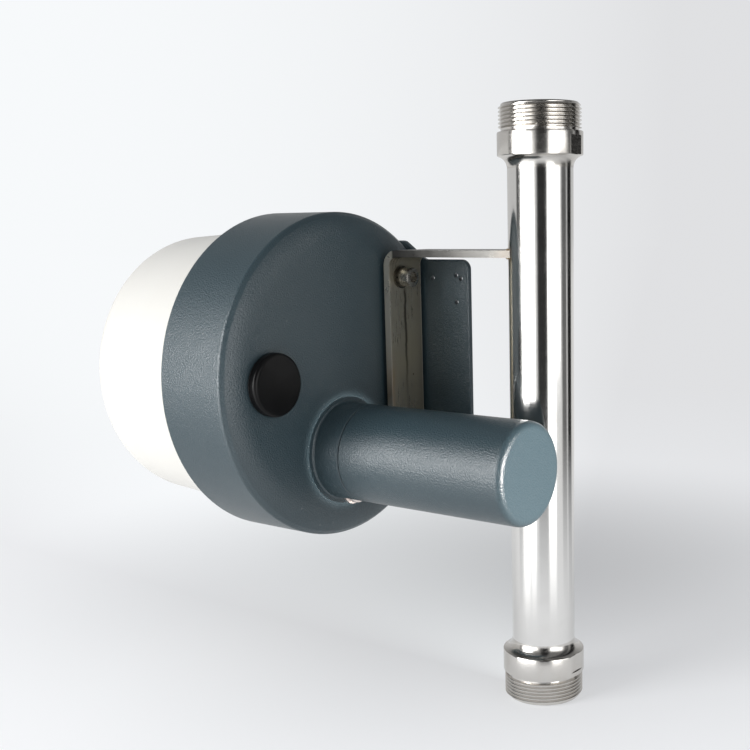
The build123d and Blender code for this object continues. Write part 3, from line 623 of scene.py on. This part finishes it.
def make_weld(name, height, arm_below):
    """A short uneven bead in the corner between an arm and the tube, sunk a little into the arm."""
    bm = bmesh.new()
    upright = Matrix.Rotation(math.pi / 2, 4, "X")
    bmesh.ops.create_circle(bm, segments=10, radius=BEAD_R,
                            matrix=Matrix.Translation((BEAD_RING_R, 0, 0)) @ upright)
    bmesh.ops.rotate(bm, verts=bm.verts, cent=(0, 0, 0),
                     matrix=Matrix.Rotation(-math.pi / 2 - BEAD_REACH, 3, "Z"))
    bmesh.ops.spin(bm, geom=bm.verts[:] + bm.edges[:], cent=(0, 0, 0), axis=(0, 0, 1), dvec=(0, 0, 0),
                   angle=2 * BEAD_REACH, steps=40, use_merge=False, use_normal_flip=False)
    bmesh.ops.holes_fill(bm, edges=[edge for edge in bm.edges if edge.is_boundary], sides=12)
    for vert in bm.verts:
        angle = math.atan2(vert.co.y, vert.co.x)
        ripple = 1.0 + 0.10 * math.sin(angle * 46.0) + 0.08 * math.sin(angle * 17.0 + 1.3)
        core = Vector((math.cos(angle), math.sin(angle), 0)) * BEAD_RING_R
        vert.co = core + (vert.co - core) * ripple
    bmesh.ops.recalc_face_normals(bm, faces=bm.faces)
    sink = -BEAD_SINK if arm_below else BEAD_SINK
    bmesh.ops.translate(bm, verts=bm.verts, vec=(0, 0, height + sink))
    add_piece(name, bm, "root", WELD)


def make_welds():
    """Beads over and under both arms of the bracket."""
    make_weld("weld_upper_arm_top", ARM_TOP, True)
    make_weld("weld_upper_arm_under", ARM_TOP - STRAP_THICKNESS, False)
    make_weld("weld_lower_arm_top", ARM_BOTTOM + STRAP_THICKNESS, True)
    make_weld("weld_lower_arm_under", ARM_BOTTOM, False)


def dial_place(radius, fraction):
    """Place and turn on the dial's front at a radius and a fraction of full scale."""
    angle = math.radians(SCALE_START + SCALE_SWEEP * fraction)
    side = HOUSING_X + radius * math.sin(angle)
    height = HOUSING_Z + radius * math.cos(angle)
    return Matrix.Translation((side, DIAL_Y - PRINT_THICKNESS / 2, height)) @ Matrix.Rotation(angle, 4, "Y")


def add_mark(bm, radius, fraction, width, length):
    """A printed block, its length along the radius."""
    size = Matrix.Diagonal((width, PRINT_THICKNESS, length, 1.0))
    bmesh.ops.create_cube(bm, size=1.0, matrix=dial_place(radius, fraction) @ size)


def make_scale():
    """Ticks and arc of the dial's scale."""
    bm = bmesh.new()
    for step in range(51):
        inner = TICK_INNER_R
        width = 0.35
        if step % 5 == 0:
            inner = MEDIUM_TICK_INNER_R
        if step % 10 == 0:
            inner = MAJOR_TICK_INNER_R
            width = 0.8
        add_mark(bm, (inner + SCALE_R) / 2, step / 50, width, SCALE_R - inner)
    for step in range(ARC_PIECES):
        add_mark(bm, ARC_R, (step + 0.5) / ARC_PIECES, ARC_R * math.radians(0.92), 0.5)
    add_piece("dial_scale", bm, "root", PRINT_BLACK, smooth=False)


def make_numeral(text, fraction):
    """A plain number of the dial's scale."""
    curve = bpy.data.curves.new("numeral_curve", "FONT")
    curve.body = text
    curve.size = NUMERAL_SIZE
    curve.align_x = "CENTER"
    curve.align_y = "CENTER"
    curve.extrude = PRINT_THICKNESS / 2
    holder = bpy.data.objects.new("numeral_holder", curve)
    bpy.context.scene.collection.objects.link(holder)
    bpy.context.view_layer.update()
    mesh = bpy.data.meshes.new_from_object(holder.evaluated_get(bpy.context.evaluated_depsgraph_get()))
    bpy.data.objects.remove(holder)
    bm = bmesh.new()
    bm.from_mesh(mesh)
    upright = Matrix.Rotation(math.pi / 2, 4, "X")
    bmesh.ops.transform(bm, matrix=dial_place(NUMERAL_R, fraction) @ upright, verts=bm.verts)
    bmesh.ops.remove_doubles(bm, verts=bm.verts, dist=0.0001)
    add_piece("numeral_" + text, bm, "root", PRINT_BLACK, smooth=False)


def make_numerals():
    """The numbers 0 to 100 along the scale."""
    for count in range(6):
        make_numeral(str(count * 20), count / 5)


def toward_window(nodes, vector):
    """1 towards the light end of the background and 0 away from it, from a direction or a place."""
    flat = nodes.vector_math("MULTIPLY", vector, (1.0, 1.0, 0.0))[0]
    unit = nodes.vector_math("NORMALIZE", flat)[0]
    window = (math.cos(WINDOW_AZIMUTH), math.sin(WINDOW_AZIMUTH), 0.0)
    return nodes.span(nodes.vector_math("DOT_PRODUCT", unit, window)["Value"], 0.86, 1.0)


def background(nodes, vector):
    """The background's colour, light on the window's side."""
    return nodes.blend(toward_window(nodes, vector), DIM_BACKGROUND, LIGHT_BACKGROUND)


def studio_shade(nodes, vector):
    """How bright the room is as bare metal mirrors it: pale, darker overhead, with panels and dark gaps."""
    across, depth, height = nodes.split(vector)
    azimuth = nodes.math("ARCTAN2", depth, across)
    shade = nodes.span(height, 0.2, 0.7, 0.75, 0.25)
    level = nodes.span(nodes.math("ABSOLUTE", height), 0.22, 0.40, 1.0, 0.0)
    for middle, half, gain in STUDIO_PANELS:
        away = nodes.away(azimuth, math.radians(middle))
        width = math.radians(half)
        panel = nodes.times(nodes.span(away, width * 0.8, width * 1.2, gain, 0.0), level)
        shade = nodes.plus(shade, panel)
    for middle, half, darkness in STUDIO_GAPS:
        away = nodes.away(azimuth, math.radians(middle))
        width = math.radians(half)
        shade = nodes.times(shade, nodes.span(away, width * 0.85, width * 1.15, 1.0 - darkness, 1.0))
    return shade


def make_world():
    """Soft light from all round; the camera sees the background and bare metal mirrors the studio."""
    world = bpy.data.worlds.new("studio")
    world.use_nodes = True
    bpy.context.scene.world = world
    nodes = Nodes(world.node_tree)
    nodes.tree.nodes.clear()
    out = nodes.add("ShaderNodeOutputWorld")
    look = nodes.light_path()
    direction = nodes.add("ShaderNodeTexCoord").outputs["Generated"]
    backdrop = nodes.glow("ShaderNodeBackground", color=background(nodes, direction))
    ambient = nodes.add("ShaderNodeBackground")
    ambient.inputs["Color"].default_value = (0.95, 0.97, 1.0, 1.0)
    nodes.join(nodes.span(nodes.split(direction)["Z"], 0.0, 0.6, 0.40, 0.56), ambient.inputs["Strength"])
    mirrored = nodes.glow("ShaderNodeBackground", studio_shade(nodes, direction))
    around = nodes.mix_shaders(look["Is Glossy Ray"], ambient.outputs[0], mirrored)
    direct = nodes.math("MAXIMUM", look["Is Camera Ray"], look["Is Transmission Ray"])
    nodes.join(nodes.mix_shaders(direct, around, backdrop), out.inputs[0])


def shadow_shade(nodes, place):
    """Darker beneath the housing, fading outwards."""
    away = nodes.vector_math("DISTANCE", place, SHADOW_PLACE)["Value"]
    return nodes.span(away, 0.0, SHADOW_REACH, SHADOW_MIDDLE, 1.0, curve="SMOOTHSTEP")


def make_floor_finish():
    """Pale floor that keeps the object's shadow near it and fades into the background further out."""
    material, nodes, shader = new_material("floor_pale", FLOOR_COLOR, 0.0, 0.9, Specular_IOR_Level=0.1)
    place = nodes.place()
    reach = nodes.vector_math("LENGTH", place)["Value"]
    look = nodes.light_path()
    direct = nodes.math("MAXIMUM", look["Is Camera Ray"], look["Is Transmission Ray"])
    gradient = background(nodes, place)
    shade = shadow_shade(nodes, place)
    nodes.join(nodes.blend(shade, (0.0, 0.0, 0.0), FLOOR_COLOR), shader.inputs["Base Color"])
    faded = nodes.glow("ShaderNodeEmission", shade, gradient)
    seen_lift = nodes.times(nodes.math("MAXIMUM", direct, look["Is Glossy Ray"]), FLOOR_LIFT)
    lift = nodes.glow("ShaderNodeEmission", nodes.times(seen_lift, shade), gradient)
    lifted = nodes.add("ShaderNodeAddShader")
    nodes.join(shader.outputs[0], lifted.inputs[0])
    nodes.join(lift, lifted.inputs[1])
    seen = nodes.mix_shaders(nodes.times(nodes.span(reach, 0.20, 0.95), direct), lifted.outputs[0], faded)
    bounce = nodes.glow("ShaderNodeEmission", FLOOR_BOUNCE)
    bounced = nodes.mix_shaders(look["Is Diffuse Ray"], seen, bounce)
    mirrored = nodes.glow("ShaderNodeEmission", studio_shade(nodes, place))
    far_mirrored = nodes.times(nodes.span(reach, 0.12, 0.60), look["Is Glossy Ray"])
    final = nodes.mix_shaders(far_mirrored, bounced, mirrored)
    nodes.join(final, nodes.tree.nodes["Material Output"].inputs["Surface"])
    return material


def make_floor():
    """A wide round floor under the object."""
    bm = bmesh.new()
    bmesh.ops.create_circle(bm, cap_ends=True, segments=96, radius=FLOOR_R)
    bmesh.ops.translate(bm, verts=bm.verts, vec=(0, 0, -FLOOR_DROP))
    mesh = bpy.data.meshes.new("floor")
    bm.to_mesh(mesh)
    bm.free()
    mesh.materials.append(make_floor_finish())
    floor = bpy.data.objects.new("floor", mesh)
    bpy.context.scene.collection.objects.link(floor)


def aim_lamp(name, lamp, place, target):
    """Hangs a lamp at a place and points it at a target."""
    holder = bpy.data.objects.new(name, lamp)
    holder.location = place
    holder.rotation_euler = (Vector(target) - Vector(place)).to_track_quat("-Z", "Y").to_euler()
    bpy.context.scene.collection.objects.link(holder)


def add_softbox(name, azimuth, distance, height, size, power):
    """A rectangular lamp on a stand, at an azimuth in degrees from +X, aimed at the object."""
    turn = math.radians(azimuth)
    lamp = bpy.data.lights.new(name, "AREA")
    lamp.shape = "RECTANGLE"
    lamp.size, lamp.size_y = size
    lamp.energy = power
    aim_lamp(name, lamp, (distance * math.cos(turn), distance * math.sin(turn), height), (0.0, -0.03, 0.14))


def add_snoot(name, target, azimuth, distance, power):
    """A narrow spot lamp on one small place."""
    turn = math.radians(azimuth)
    lamp = bpy.data.lights.new(name, "SPOT")
    lamp.energy = power
    lamp.color = (1.0, 0.94, 0.90)
    lamp.spot_size = 2 * math.atan(CAP_SPOT_R / distance)
    lamp.spot_blend = 0.35
    lamp.shadow_soft_size = 0.003
    place = Vector(target) + Vector((distance * math.cos(turn), distance * math.sin(turn), 0.0))
    aim_lamp(name, lamp, place, target)


def make_camera():
    """The photograph's camera, refitted with a smaller shift so that other views stay in the picture."""
    camera = bpy.data.cameras.new("camera")
    camera.sensor_width = 36.0
    camera.lens = 55.395
    camera.shift_x = -0.16
    camera.shift_y = 0.07
    camera.clip_start = 0.01
    camera.clip_end = 50.0
    yaw, pitch, roll = 0.62423, 0.17524, -0.01439
    look = Vector((-math.cos(pitch) * math.cos(yaw), -math.cos(pitch) * math.sin(yaw), -math.sin(pitch)))
    turn = look.to_track_quat("-Z", "Y") @ Quaternion((0.0, 0.0, 1.0), roll)
    holder = bpy.data.objects.new("camera", camera)
    holder.location = (0.40057, 0.26408, 0.20277)
    holder.rotation_euler = turn.to_euler()
    bpy.context.scene.collection.objects.link(holder)
    bpy.context.scene.camera = holder


dress_solids()
make_fitting("inlet_fitting_threaded", "inlet_fitting", False)
make_fitting("outlet_fitting_threaded", "outlet_fitting", True)
make_welds()
make_scale()
make_numerals()

make_camera()
make_world()
make_floor()
add_softbox("softbox_right", 82.0, 1.10, 0.22, (0.90, 0.8), 3.2)
add_softbox("softbox_left", -26.0, 1.10, 0.35, (0.60, 0.9), 14.0)
add_snoot("snoot_on_cap_end", CAP_END, 90.0, 0.8, 105.0)
bpy.context.scene.view_settings.view_transform = "Standard"
